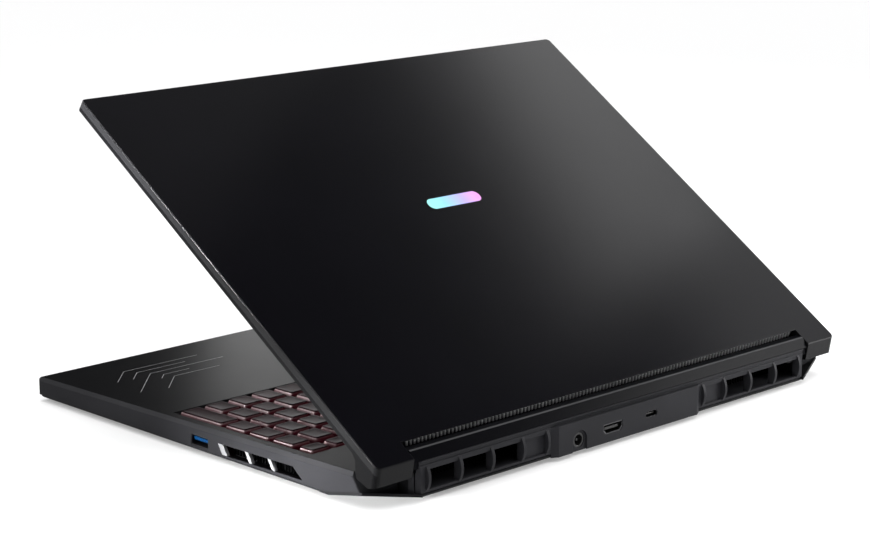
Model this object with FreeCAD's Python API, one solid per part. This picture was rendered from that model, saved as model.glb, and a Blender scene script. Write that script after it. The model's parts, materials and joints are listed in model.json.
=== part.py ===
import FreeCAD, Part
import math
import os

# A laptop computer with its lid part open. Millimetres, +Z up, +X to the user's right.
# The front edge faces -Y, the hinge and the exhausts are at +Y, and the feet stand on z = 0.

Vec = FreeCAD.Vector
X_AXIS = Vec(1, 0, 0)
Y_AXIS = Vec(0, 1, 0)
Z_AXIS = Vec(0, 0, 1)

# Cuts pass this far beyond the faces they open
overcut = 1.0
# Round ends keep a short flat, as a share of the radius
round_end = 0.98

# Case
case_width = 360.0
case_depth = 279.0
foot_height = 2.5
bottom_wall = 1.6
bottom_edge_chamfer = 0.8
side_wall = 2.2
deck_wall = 2.0
deck_front_height = 13.7
deck_tilt = 0.96
deck_lip = 1.1
front_corner_radius = 2.0
edge_chamfer = 2.0
front_edge_chamfer = 0.8
wall_end_chamfer = 0.5
belt_inset = 0.8
seat_gap = 0.2
floor_gap = 0.3

# Rear corners, cut away under the lid's ears
corner_wall_lean = 6.9
corner_sweep = 11.7
corner_wall = 2.5
corner_rise_x = 0.2476
corner_rise_y = 0.2124

# Hinge
hinge_setback = 8.1
hinge_rise = 2.4
deck_to_hinge = 12.0
hinge_pin_radius = 1.8
hinge_pin_clearance = 0.05
hinge_sleeve_wall = 2.2
hinge_sleeve_length = 11.0
hinge_web = 5.2
hinge_foot_length = 36.0
hinge_foot_thickness = 1.6
hinge_boss_height = 0.3
hinge_screw_spacing = 13.0
hinge_screw_grip = 1.2
hinge_plate_thickness = 2.0
hinge_plate_length = 34.0
hinge_plate_width = 12.0
hinge_cover_back = 6.9
hinge_cover_top = 7.5
hinge_cover_bore = 4.5
hinge_cover_gap = 0.4
hinge_cover_end = 2.0
# Corners of the hinge cover, as shares of its reach back and its height
hinge_cover_facets = ((1.0, 0.0), (0.43, 0.905), (0.32, 0.985), (-0.29, 1.0), (-0.75, 0.71), (-1.01, 0.26))
hinge_cover_foot = (-1.01, 0.92)

# Lid, heights from the hinge axis with the lid level
lid_rest_angle = 33.63
lid_rise = 7.0
lid_thickness = 6.2
lid_wall = 1.5
lid_rim = 1.2
lid_corner_radius = 3.0
lid_front_setback = 0.5
lid_edge_chamfer = 0.5
ear_width = 24.4
ear_back = 3.6
ear_depth = 14.5
ear_wall = 1.2
ear_heel_back = 7.3
ear_heel_drop = 2.2
# Corners of an ear, as shares of its reach back and its drop, and where each moves for the hollow
ear_facets = ((1.0, -0.75), (-1.22, -1.0), (-2.03, -0.69), (-2.86, -0.08))
ear_hollow_moves = ((-1.0, 0.8), (0.0, 1.0), (0.5, 0.8), (0.8, 0.6))
lid_notch_front = 8.3
lid_hinge_wall = 5.7
bezel_thickness = 1.4
screen_side_border = 6.5
screen_top_border = 11.0
screen_bottom_border = 26.8
panel_border = 3.7
panel_thickness = 2.5
gasket_height = 1.6
gasket_width = 2.2
gasket_inset = 2.2
gasket_rear = 20.0
emblem_length = 40.0
emblem_width = 8.0
emblem_depth = 0.6
emblem_shift = 16.0
trim_height = 4.6
trim_depth = 0.6
trim_drop = 0.5
trim_end = 2.0
lens_radius = 1.8
webcam_length = 26.0
webcam_width = 5.0
webcam_thickness = 2.6

# Keyboard, heights from the deck's surface
keyboard_rear_margin = 36.4
keyboard_border = 2.5
key_side_margin = 9.3
key_top = 0.8
key_height = 2.0
key_draft = 0.5
key_gap = 3.4
key_travel = 1.2
key_stop_gap = 0.2
row_pitch = 18.6
row_count = 5
function_row_depth = 10.0
function_row_gap = 1.5
numpad_pitch = 16.0
numpad_columns = 4
main_units = 15.0
stem_size = 3.2
stem_clearance = 0.25
key_plate_thickness = 0.8
key_plate_rim = 1.1
membrane_thickness = 0.4
stack_clearance = 0.1

# Touchpad
touchpad_width = 128.0
touchpad_margin = 15.75
touchpad_corner = 3.0
touchpad_thickness = 1.6
touchpad_recess = 0.3
touchpad_gap = 0.4
touchpad_clearance = 0.9
touchpad_bracket_thickness = 0.8
touchpad_bracket_border = 6.0

# Side vents, heights down from the deck
side_vent_rear = 42.6
side_vent_length = 58.5
side_vent_top = 6.0
side_vent_bottom = 11.6
side_vent_lean = 7.0
side_rib_lean = 3.4
side_rib_places = (0.0, 21.3, 38.9)
side_rib_widths = (4.0, 2.5, 2.5)
side_rib_inset = 0.3

# Rear exhaust housing
housing_drop = 0.905
housing_groove = 0.5
housing_wall = 2.0
housing_plate = 1.0
housing_end_chamfer = 4.3
rear_lip_setback = 2.1
rear_lip_depth = 3.3
vent_sill = 1.4
vent_roof = 5.1
lip_rise = 4.0
lip_wall = 0.8
lip_bead = 0.5
lip_groove_drop = 0.6
lip_groove_height = 1.8
lip_groove_depth = 0.4
vent_pitch = 22.2
vent_end = 8.6
vent_closed_width = 18.0
vent_open_count = 3
vent_rib_width = 1.8
vent_rib_root = 3.0
vent_rib_margin = 0.6
closed_bay_depth = 1.2
port_plate_ramp = 4.0
port_plate_gap = 2.0

# Ports
port_wall = 0.25
port_back = 0.8
port_seat = 0.05
port_face = 0.3
tongue_share = 0.7
tongue_thickness = 1.4
usb_place = 135.7
usb_width = 13.7
usb_height = 5.6
usb_depth = 14.0
usb_tongue_width = 11.0
usb_tongue_height = 1.9
usb_tongue_drop = 0.9
usb_tongue_setback = 1.2
hdmi_place = 13.4
hdmi_rise = 9.7
hdmi_width = 15.0
hdmi_height = 5.5
hdmi_depth = 11.0
hdmi_notch = 2.0
usb_c_place = -17.2
usb_c_rise = 10.9
usb_c_width = 9.4
usb_c_height = 3.4
usb_c_depth = 8.0
usb_c_tongue_thickness = 0.7
dc_place = 39.2
dc_rise = 8.2
dc_outer_radius = 4.0
dc_bore_radius = 2.9
dc_depth = 11.0
dc_pin_radius = 0.7
dc_pocket_radius = 5.4
dc_pocket_depth = 0.9
audio_behind_keyboard = 2.5
audio_radius = 2.2
audio_bore_radius = 1.75
audio_block = 5.2
audio_depth = 14.0

# Feet and screws
front_foot_length = 60.0
front_foot_width = 8.0
front_foot_side = 60.0
front_foot_margin = 16.0
rear_foot_length = 250.0
rear_foot_width = 10.0
rear_foot_margin = 18.0
foot_rounding = 0.45
screw_head_radius = 2.3
screw_head_height = 0.8
screw_recess = 0.2
screw_shank_radius = 1.2
screw_length = 5.0
screw_hole_clearance = 0.2
screw_slot_width = 0.6
screw_slot_share = 0.6
boss_wall = 1.4
boss_sink = 0.5
screw_edge = 5.5
screw_inside_vents = 20.0
screw_rear = 6.0

# Cooling
fan_radius = 26.0
fan_tip_clearance = 1.5
fan_hub_radius = 9.0
fan_side_offset = 75.0
fan_rear_offset = 52.4
fan_blades = 19
fan_blade_thickness = 0.9
fan_blade_sweep = 30.0
fan_blade_root = 7.2
fan_wall = 0.7
fan_axial_clearance = 0.6
fan_axle_radius = 1.0
fan_axle_clearance = 0.05
fan_inlet_radius = 19.0
fin_pitch = 2.2
fin_thickness = 0.4
fin_base = 0.6
rear_fin_depth = 14.0
side_fin_depth = 22.0
side_fin_gap = 3.0
heat_pipe_thickness = 1.6
heat_pipe_width = 7.0
heat_pipe_leg = 16.0
chip_spread = 56.0
chip_size = 30.0
chip_thickness = 1.2
chip_forward = 66.0
intake_slot_length = 20.0
intake_slot_width = 2.4
intake_slot_pitch = 5.0
intake_rows = 8

# Boards, battery and speakers
board_standoff = 1.2
board_thickness = 1.2
board_front_gap = 3.0
board_side_gap = 1.0
board_tongue_left = -32.0
board_tongue_right = 52.0
battery_clearance = 4.0
battery_roof_gap = 0.9
battery_length = 236.0
battery_cells = 4
cell_groove = 1.2
speaker_length = 52.0
speaker_width = 34.0
speaker_height = 5.2
speaker_corner = 3.0
speaker_driver_radius = 12.2
module_length = 80.0
module_width = 22.0
module_thickness = 2.4
memory_side_gap = 8.6
memory_width = 28.0
memory_margin = 2.8
card_length = 28.0

# Places worked out from the sizes above
half_width = case_width / 2
front_y = -case_depth / 2
rear_y = case_depth / 2
seam_z = foot_height + bottom_wall
tilt_slope = math.tan(math.radians(deck_tilt))
hinge_y = rear_y - hinge_setback
deck_rear_y = hinge_y - deck_to_hinge
housing_height = deck_front_height + (deck_rear_y - front_y) * tilt_slope - housing_drop
hinge_height = housing_height + hinge_rise
corner_y = deck_rear_y + corner_wall_lean
corner_z = hinge_height - corner_sweep
ear_inner = half_width - ear_width
cover_half = ear_inner - hinge_cover_gap
sleeve_radius = hinge_pin_radius + hinge_pin_clearance + hinge_sleeve_wall
housing_front_y = deck_rear_y + deck_lip
housing_bottom = seam_z + housing_groove
vent_bottom = housing_bottom + vent_sill
lip_top = housing_height + lip_rise
vent_top = lip_top - vent_roof
lip_groove_top = lip_top - lip_groove_drop
lip_groove_bottom = lip_groove_top - lip_groove_height
lip_y = rear_y - rear_lip_setback
lip_inner_y = lip_y - lip_wall
plate_top = key_top - key_height - key_travel - key_stop_gap
plate_bottom = plate_top - key_plate_thickness
stem_bottom = plate_bottom + key_stop_gap / 4
membrane_top = stem_bottom - key_travel - key_stop_gap / 4
membrane_bottom = membrane_top - membrane_thickness
keyboard_rear_y = deck_rear_y - keyboard_rear_margin
function_row_y = keyboard_rear_y - keyboard_border - function_row_depth
first_row_y = function_row_y - row_count * row_pitch - function_row_gap
keyboard_front_y = first_row_y - keyboard_border
key_depth = row_pitch - key_gap
key_right = half_width - key_side_margin
numpad_left = key_right - numpad_columns * numpad_pitch + key_gap
main_unit = (numpad_left + key_right) / main_units
window_half = key_right + keyboard_border
plate_half = window_half + key_plate_rim
touchpad_x = (numpad_left - key_gap - key_right) / 2
touchpad_front_y = front_y + touchpad_margin
touchpad_rear_y = keyboard_front_y - touchpad_margin
touchpad_bottom = -touchpad_recess - touchpad_thickness
bracket_top = touchpad_bottom - touchpad_clearance
bracket_bottom = bracket_top - touchpad_bracket_thickness
lid_inner = lid_rise - lid_thickness
lid_front = hinge_y - front_y - lid_front_setback
cavity_top = lid_rise - lid_wall
bezel_back = lid_inner + bezel_thickness
bezel_rear = lid_notch_front + lid_hinge_wall
screen_front = lid_front - lid_rim - screen_top_border
screen_rear = bezel_rear + screen_bottom_border
screen_half = half_width - lid_rim - screen_side_border
floor_z = seam_z + floor_gap
fan_x = half_width - fan_side_offset
fan_y = deck_rear_y - fan_rear_offset
fan_half = fan_radius + fan_tip_clearance + fan_wall
rear_fin_front_y = housing_front_y - seat_gap - rear_fin_depth
board_z = seam_z + board_standoff
board_top = board_z + board_thickness
board_half = fan_x - fan_half - board_side_gap
memory_length = board_half - seat_gap - memory_side_gap
board_front_y = keyboard_front_y + board_front_gap
chip_y = deck_rear_y - chip_forward
pipe_z = board_top + chip_thickness
usb_c_size = (usb_c_place, usb_c_rise, usb_c_width, usb_c_height)


def deck_z(y):
    """Height of the deck's surface at a distance y along the case."""
    return deck_front_height + (y - front_y) * tilt_slope


def under_keyboard_z(y):
    """Highest point that something under the keyboard may reach at y."""
    return deck_z(y) + membrane_bottom - stack_clearance


def box(x0, x1, y0, y1, z0, z1):
    return Part.makeBox(x1 - x0, y1 - y0, z1 - z0, Vec(x0, y0, z0))


def rounded_box(x0, x1, y0, y1, z0, z1, radius):
    """A box whose four upright edges are rounded."""
    shape = box(x0, x1, y0, y1, z0, z1)
    upright = [edge for edge in shape.Edges if abs(edge.tangentAt(edge.FirstParameter).z) > 0.99]
    return shape.makeFillet(radius, upright)


def prism(corners, direction):
    """A solid made by carrying the flat outline `corners` along a direction."""
    return Part.Face(Part.makePolygon(corners + corners[:1])).extrude(direction)


def prism_x(points, x0, x1):
    return prism([Vec(x0, y, z) for y, z in points], Vec(x1 - x0, 0, 0))


def prism_y(points, y0, y1):
    return prism([Vec(x, y0, z) for x, z in points], Vec(0, y1 - y0, 0))


def prism_z(points, z0, z1):
    return prism([Vec(x, y, z0) for x, y in points], Vec(0, 0, z1 - z0))


def rod_x(x0, x1, y, z, radius):
    return Part.makeCylinder(radius, x1 - x0, Vec(x0, y, z), X_AXIS)


def rod_y(y0, y1, x, z, radius):
    return Part.makeCylinder(radius, y1 - y0, Vec(x, y0, z), Y_AXIS)


def rod_z(z0, z1, x, y, radius):
    return Part.makeCylinder(radius, z1 - z0, Vec(x, y, z0), Z_AXIS)


def mirrored(shape):
    return shape.mirror(Vec(0, 0, 0), X_AXIS)


def both_sides(shape):
    return Part.makeCompound([shape, mirrored(shape)])


def placed(shape, angle, y, z):
    """The shape turned about the X axis and then carried to y, z."""
    moved = shape.copy()
    turn = FreeCAD.Placement(Vec(0, y, z), FreeCAD.Rotation(X_AXIS, angle))
    moved.Placement = turn.multiply(moved.Placement)
    return moved


def on_deck(shape):
    """A shape built on a level deck at z = 0, laid on the tilted deck."""
    return placed(shape, deck_tilt, 0, deck_z(0))


def in_lid(shape):
    """A shape built round the hinge axis with the lid level, turned to the resting lid."""
    return placed(shape, -lid_rest_angle, hinge_y, hinge_height)


def under_bevel(offset):
    """Everything below the right rear corner's sloping underside, raised by offset."""
    reach = case_depth
    normal = Vec(-corner_rise_x, -corner_rise_y, 1)
    corner = Vec(half_width, corner_y, corner_z + offset)
    block = Part.makeBox(2 * reach, 2 * reach, reach, Vec(-reach, -reach, -reach))
    block.Placement = FreeCAD.Placement(corner, FreeCAD.Rotation(Z_AXIS, normal))
    return block


def bevelled(shape, offset):
    """The shape with both rear corners cut to the sloping underside."""
    cutter = under_bevel(offset)
    return shape.cut(cutter).cut(mirrored(cutter))


def screw_places():
    """Centres of the screws that hold the bottom cover."""
    side = half_width - side_wall - screw_edge
    front = front_y + side_wall + boss_wall + screw_shank_radius - boss_sink
    palm = keyboard_front_y - key_plate_rim - screw_edge
    rear = deck_rear_y - screw_rear
    middle = rib_places()[-2] - screw_inside_vents
    places = [(0, front), (side, front), (-side, front), (side, palm), (-side, palm)]
    return places + [(middle, rear), (-middle, rear)]


def hinge_foot_x():
    """Inner and outer end of the right hinge bracket."""
    outer = cover_half - hinge_cover_end
    return outer - hinge_sleeve_length, outer


def hinge_foot_top():
    return deck_z(hinge_y - hinge_foot_length) - deck_wall - hinge_boss_height


def hinge_screw_places():
    """Centres of the four screws that hold the hinge brackets under the deck."""
    x = sum(hinge_foot_x()) / 2
    start = hinge_y - hinge_foot_length + boss_wall + screw_shank_radius
    rows = (start, start + hinge_screw_spacing)
    return [(side * x, y) for side in (-1, 1) for y in rows]


def side_vent_outline(start, length, rear_lean):
    """A leaning outline in the side wall, from `start` along the vent."""
    y0 = deck_rear_y - side_vent_rear - side_vent_length + start
    y1 = y0 + length
    low_y0 = y0 + side_rib_lean
    low_y1 = y1 + rear_lean
    return [
        (y0, deck_z(y0) - side_vent_top),
        (y1, deck_z(y1) - side_vent_top),
        (low_y1, deck_z(low_y1) - side_vent_bottom),
        (low_y0, deck_z(low_y0) - side_vent_bottom),
    ]


def edge_slice(edge, size, top):
    """What a chamfer takes off a square edge whose upper corner is at `edge`, `top`."""
    return [
        (edge - size - overcut, top + overcut),
        (edge + overcut, top - size - overcut),
        (edge + overcut, top + overcut),
    ]


def usb_block(depth, grow):
    """The right USB port's outside, reaching `depth` in from the side, grown all round."""
    y0 = rear_y - usb_place - usb_width / 2
    top = under_keyboard_z(y0) - stack_clearance
    return box(
        half_width - depth,
        half_width + overcut,
        y0 - grow,
        y0 + usb_width + grow,
        top - usb_height - grow,
        top + grow,
    )


def audio_middle():
    """Centre of the headphone jack in the left side, as y and z."""
    y = keyboard_front_y + audio_behind_keyboard
    return y, under_keyboard_z(y - audio_block) - audio_block / 2 - stack_clearance


def rib_places():
    """Distances of the rear ribs from the middle, outermost first."""
    outer = cover_half - vent_end
    places = [outer - vent_pitch * step for step in range(vent_open_count + 1)]
    return places + [places[-1] - vent_closed_width]


def top_case():
    """Deck and side walls in one shell, open below, with the keyboard and touchpad windows."""
    rear_z = deck_z(deck_rear_y)
    outline = [
        (front_y, seam_z),
        (front_y, deck_z(front_y)),
        (deck_rear_y, rear_z),
        (corner_y, corner_z),
        (corner_y, seam_z),
    ]
    shell = prism_x(outline, -half_width, half_width)
    front_edges = [e for e in shell.Edges if e.BoundBox.YMax < front_y + overcut]
    upright = [e for e in front_edges if e.BoundBox.XLength < overcut]
    shell = shell.makeFillet(front_corner_radius, upright)
    side_cut = on_deck(prism_y(edge_slice(half_width, edge_chamfer, 0), -case_depth, case_depth))
    front_slice = edge_slice(-front_y, front_edge_chamfer, deck_z(front_y))
    front_cut = prism_x([(-y, z) for y, z in front_slice], -half_width, half_width)
    shell = shell.cut(side_cut).cut(mirrored(side_cut)).cut(front_cut)
    behind_deck = [e for e in shell.Edges if e.BoundBox.YMin > deck_rear_y - overcut]
    slanted = [e for e in behind_deck if e.BoundBox.XLength < overcut < e.BoundBox.YLength]
    shell = shell.makeChamfer(wall_end_chamfer, slanted)
    inner_rear = deck_rear_y - corner_wall
    cavity = [
        (front_y + side_wall, 0),
        (front_y + side_wall, deck_z(front_y + side_wall) - deck_wall),
        (inner_rear, deck_z(inner_rear) - deck_wall),
        (corner_y - corner_wall, corner_z),
        (corner_y - corner_wall, 0),
    ]
    shell = shell.cut(prism_x(cavity, -half_width + side_wall, half_width - side_wall))
    housing_room = box(
        -cover_half - seat_gap,
        cover_half + seat_gap,
        housing_front_y - seat_gap,
        rear_y,
        0,
        housing_height + seat_gap,
    )
    duct = box(
        -cover_half + housing_wall,
        cover_half - housing_wall,
        inner_rear - corner_wall,
        rear_y,
        0,
        deck_z(inner_rear) - deck_wall,
    )
    shell = bevelled(shell.cut(housing_room).cut(duct), bottom_wall)
    keyboard_window = box(
        -window_half, window_half, keyboard_front_y, keyboard_rear_y, -deck_front_height, deck_wall
    )
    pad_window = rounded_box(
        touchpad_x - touchpad_width / 2 - touchpad_gap,
        touchpad_x + touchpad_width / 2 + touchpad_gap,
        touchpad_front_y - touchpad_gap,
        touchpad_rear_y + touchpad_gap,
        -deck_wall * 2,
        deck_wall,
        touchpad_corner + touchpad_gap,
    )
    shell = shell.cut(on_deck(keyboard_window)).cut(on_deck(pad_window))
    wall_x = half_width - side_wall * 2
    vent = prism_x(side_vent_outline(0, side_vent_length, side_vent_lean), wall_x, half_width + overcut)
    usb = usb_block(side_wall * 2, port_seat)
    audio_y, audio_z = audio_middle()
    audio = rod_x(-half_width - overcut, -wall_x, audio_y, audio_z, audio_radius + port_seat)
    shell = shell.cut(vent).cut(mirrored(vent)).cut(usb).cut(mirrored(usb)).cut(audio)
    boss_radius = screw_shank_radius + boss_wall
    for x, y in screw_places():
        shell = shell.fuse(rod_z(seam_z, deck_z(y) - deck_wall / 2, x, y, boss_radius))
        shell = shell.cut(rod_z(0, seam_z + screw_length, x, y, screw_shank_radius))
    for x, y in hinge_screw_places():
        low = hinge_foot_top()
        shell = shell.fuse(rod_z(low, deck_z(y) - deck_wall / 2, x, y, boss_radius))
        shell = shell.cut(rod_z(low, low + hinge_screw_grip, x, y, screw_shank_radius))
    return shell.removeSplitter()


def bottom_cover():
    """The lower shell: a plate with air slots whose rear corners slope up under the lid's ears."""
    side = half_width - belt_inset
    rear = lip_y - seat_gap
    corner_x = cover_half - housing_end_chamfer
    front = front_y + belt_inset
    plate = rounded_box(-side, side, front, rear, foot_height, seam_z, front_corner_radius)
    low_edges = [e for e in plate.Edges if e.BoundBox.ZMax < seam_z - bottom_wall / 2]
    plate = plate.makeChamfer(bottom_edge_chamfer, low_edges)
    tip = [(side, deck_rear_y - ear_width), (side, corner_y), (corner_x, rear_y - belt_inset)]
    corner = prism_z(tip + [(corner_x, deck_rear_y - ear_width)], foot_height, housing_height)
    corner = corner.common(under_bevel(bottom_wall))
    beyond = side + overcut
    outline = [(beyond, corner_y), (corner_x, rear_y - belt_inset), (beyond, rear_y)]
    outside = prism_z(outline, 0, housing_height)
    cover = plate.fuse(corner).fuse(mirrored(corner)).cut(outside).cut(mirrored(outside))
    cover = bevelled(cover, 0)
    for side_sign in (-1, 1):
        for row in range(intake_rows):
            y = fan_y + (row - (intake_rows - 1) / 2) * intake_slot_pitch
            for column in (-1, 1):
                x = side_sign * fan_x + column * (intake_slot_length / 2 + intake_slot_width / 2)
                cover = cover.cut(intake_slot(x, y))
    for x, y in screw_places():
        seat = screw_head_height + screw_recess
        cover = cover.cut(rod_z(0, seam_z + overcut, x, y, screw_shank_radius + screw_hole_clearance))
        cover = cover.cut(rod_z(0, foot_height + seat, x, y, screw_head_radius + screw_hole_clearance))
    return cover.removeSplitter()


def intake_slot(x, y):
    """One slot of the air intake under a fan."""
    half = intake_slot_length / 2
    radius = intake_slot_width / 2
    return rounded_box(x - half, x + half, y - radius, y + radius, 0, seam_z + overcut, radius * round_end)


def rear_rib(x):
    """One bowed rib of the rear exhaust, from the upper lip to the lower lip."""
    root_y = lip_y - vent_rib_root
    top = lip_groove_bottom - vent_rib_margin
    bottom = housing_bottom + vent_rib_margin
    side = x - vent_rib_width / 2
    step_y = rear_y - rear_lip_depth
    start = Vec(side, lip_y, bottom)
    crest = Vec(side, rear_y, (top + bottom) / 2)
    end = Vec(side, lip_y, top)
    corners = [end, Vec(side, lip_inner_y, top), Vec(side, lip_inner_y, vent_top)]
    corners += [Vec(side, root_y, vent_top), Vec(side, root_y, seam_z)]
    corners += [Vec(side, step_y, seam_z), Vec(side, step_y, bottom), start]
    edges = [Part.Arc(start, crest, end).toShape()] + Part.makePolygon(corners).Edges
    return Part.Face(Part.Wire(edges)).extrude(Vec(vent_rib_width, 0, 0))


def rear_housing():
    """The exhaust box across the rear, with its ribs and the port plate between the vents."""
    outline = [
        (housing_front_y, seam_z),
        (rear_y - rear_lip_depth, seam_z),
        (rear_y - rear_lip_depth, housing_bottom),
        (lip_y, housing_bottom),
        (lip_y, lip_groove_top),
        (lip_y + lip_bead, lip_groove_top),
        (lip_y + lip_bead, lip_top),
        (lip_inner_y, lip_top),
        (lip_inner_y, housing_height),
        (housing_front_y, housing_height),
    ]
    shell = prism_x(outline, -cover_half, cover_half)
    ribs = rib_places()
    plate_out = ribs[-1] - vent_rib_width / 2 - port_plate_gap
    plate_in = plate_out - port_plate_ramp
    plate = prism_z(
        [(-plate_out, lip_y), (-plate_in, rear_y), (plate_in, rear_y), (plate_out, lip_y)],
        foot_height,
        lip_groove_bottom,
    )
    groove_y = lip_y - lip_groove_depth
    groove = box(-half_width, half_width, groove_y, rear_y, lip_groove_bottom, lip_groove_top)
    shell = shell.fuse(plate).cut(groove)
    inside_rear = lip_y - housing_wall
    shell = shell.cut(
        box(
            -cover_half + housing_wall,
            cover_half - housing_wall,
            housing_front_y - overcut,
            inside_rear,
            seam_z + housing_plate,
            housing_height - housing_plate,
        )
    )
    chamfer = housing_end_chamfer
    tip = [
        (cover_half, lip_y - chamfer),
        (cover_half + overcut, rear_y + overcut),
        (cover_half - chamfer, rear_y),
        (cover_half - chamfer, lip_y),
    ]
    end_cut = prism_z(tip, 0, lip_top + overcut)
    shell = shell.cut(end_cut).cut(mirrored(end_cut))
    for outer, inner in zip(ribs[:-1], ribs[1:]):
        depth_y = inside_rear - overcut
        if inner == ribs[-1]:
            depth_y = lip_y - closed_bay_depth
        vent = box(inner, outer, depth_y, rear_y, vent_bottom, vent_top)
        shell = shell.cut(vent).cut(mirrored(vent))
    for x in ribs:
        rib = rear_rib(x)
        shell = shell.fuse(rib).fuse(mirrored(rib))
    pocket_y = rear_y - dc_pocket_depth
    pocket = rod_y(pocket_y, rear_y + overcut, dc_place, dc_rise, dc_pocket_radius)
    pocket_sides = (dc_place - dc_pocket_radius, dc_place + dc_pocket_radius)
    pocket = pocket.fuse(box(*pocket_sides, pocket_y, rear_y + overcut, 0, dc_rise))
    jack_room = rod_y(pocket_y - dc_depth - overcut, rear_y, dc_place, dc_rise, dc_outer_radius + port_seat)
    shell = shell.cut(pocket).cut(jack_room)
    through = (inside_rear - overcut, rear_y + overcut)
    shell = shell.cut(hdmi_block(*through, port_seat))
    shell = shell.cut(stadium_y(*usb_c_size, *through, port_seat))
    x0, x1 = hinge_foot_x()
    slot = box(
        x0 - stem_clearance,
        x1 + stem_clearance,
        hinge_y - sleeve_radius - stem_clearance,
        hinge_y + sleeve_radius + stem_clearance,
        housing_height - housing_plate - overcut,
        housing_height + overcut,
    )
    shell = shell.cut(slot).cut(mirrored(slot))
    return bevelled(shell, bottom_wall).removeSplitter()


def hinge_cover_outline():
    """The hinge cover's facets round the axis, inside the sweep of the lid's notch."""
    low = housing_height - hinge_height
    facets = [(hinge_cover_back * y, hinge_cover_top * z) for y, z in hinge_cover_facets]
    return facets + [(hinge_cover_back * y, low) for y in hinge_cover_foot]


def hinge_cover():
    """The fixed bar across the lid's notch, which hides the hinges."""
    points = [(hinge_y + dy, hinge_height + dz) for dy, dz in hinge_cover_outline()]
    bar = prism_x(points, -cover_half, cover_half)
    inner = cover_half - hinge_cover_end
    bar = bar.cut(rod_x(-inner, inner, hinge_y, hinge_height, hinge_cover_bore))
    pin_room = hinge_pin_radius + hinge_cover_gap
    bar = bar.cut(rod_x(-half_width, half_width, hinge_y, hinge_height, pin_room))
    lip_room = box(-half_width, half_width, lip_inner_y - seat_gap, rear_y, 0, lip_top + seat_gap)
    return bar.cut(lip_room)


def hinge_brackets():
    """Steel sleeves in the hinge cover, each on a foot that is screwed under the deck."""
    x0, x1 = hinge_foot_x()
    top = hinge_foot_top()
    low = top - hinge_foot_thickness
    web_rear = hinge_y + hinge_web / 2
    foot_plate = box(x0, x1, hinge_y - hinge_foot_length, web_rear, low, top)
    web = box(x0, x1, hinge_y - hinge_web / 2, web_rear, low, hinge_height)
    sleeve = rod_x(x0, x1, hinge_y, hinge_height, sleeve_radius)
    bracket = sleeve.fuse(web).fuse(foot_plate)
    bore = rod_x(x0 - overcut, x1 + overcut, hinge_y, hinge_height, hinge_pin_radius + hinge_pin_clearance)
    bracket = bracket.cut(bore)
    pair = both_sides(bracket.removeSplitter())
    for x, y in hinge_screw_places():
        pair = pair.cut(rod_z(0, hinge_height, x, y, screw_shank_radius))
    return pair


def hinge_screws():
    """Screws from below through the hinge brackets' feet into the deck's bosses."""
    top = hinge_foot_top()
    seat = top - hinge_foot_thickness
    return Part.makeCompound([screw(x, y, seat, top + hinge_screw_grip) for x, y in hinge_screw_places()])


def lid_hinge_arms():
    """Hinge pins with the plates that carry the lid, one in each ear."""
    x0 = hinge_foot_x()[0]
    plate_x0 = ear_inner + (ear_width - hinge_plate_width) / 2
    plate_x1 = plate_x0 + hinge_plate_width
    pin = rod_x(x0, plate_x1, 0, 0, hinge_pin_radius)
    top = cavity_top - seat_gap
    low = top - hinge_plate_thickness
    web = box(plate_x0, plate_x1, -hinge_pin_radius, 0, 0, top)
    plate = box(plate_x0, plate_x1, -hinge_plate_length, 0, low, top)
    arm = pin.fuse(web).fuse(plate).removeSplitter()
    return in_lid(both_sides(arm))


def ear_outline(inset):
    """The ear's profile behind and below the hinge axis, inset for its hollow."""
    low = ear_depth - lid_rise
    points = [(ear_back - inset, lid_inner)]
    for (y, z), (move_y, move_z) in zip(ear_facets, ear_hollow_moves):
        points.append((ear_back * y + inset * move_y, low * z + inset * move_z))
    return points + [(-bezel_rear + inset, lid_inner)]


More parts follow.
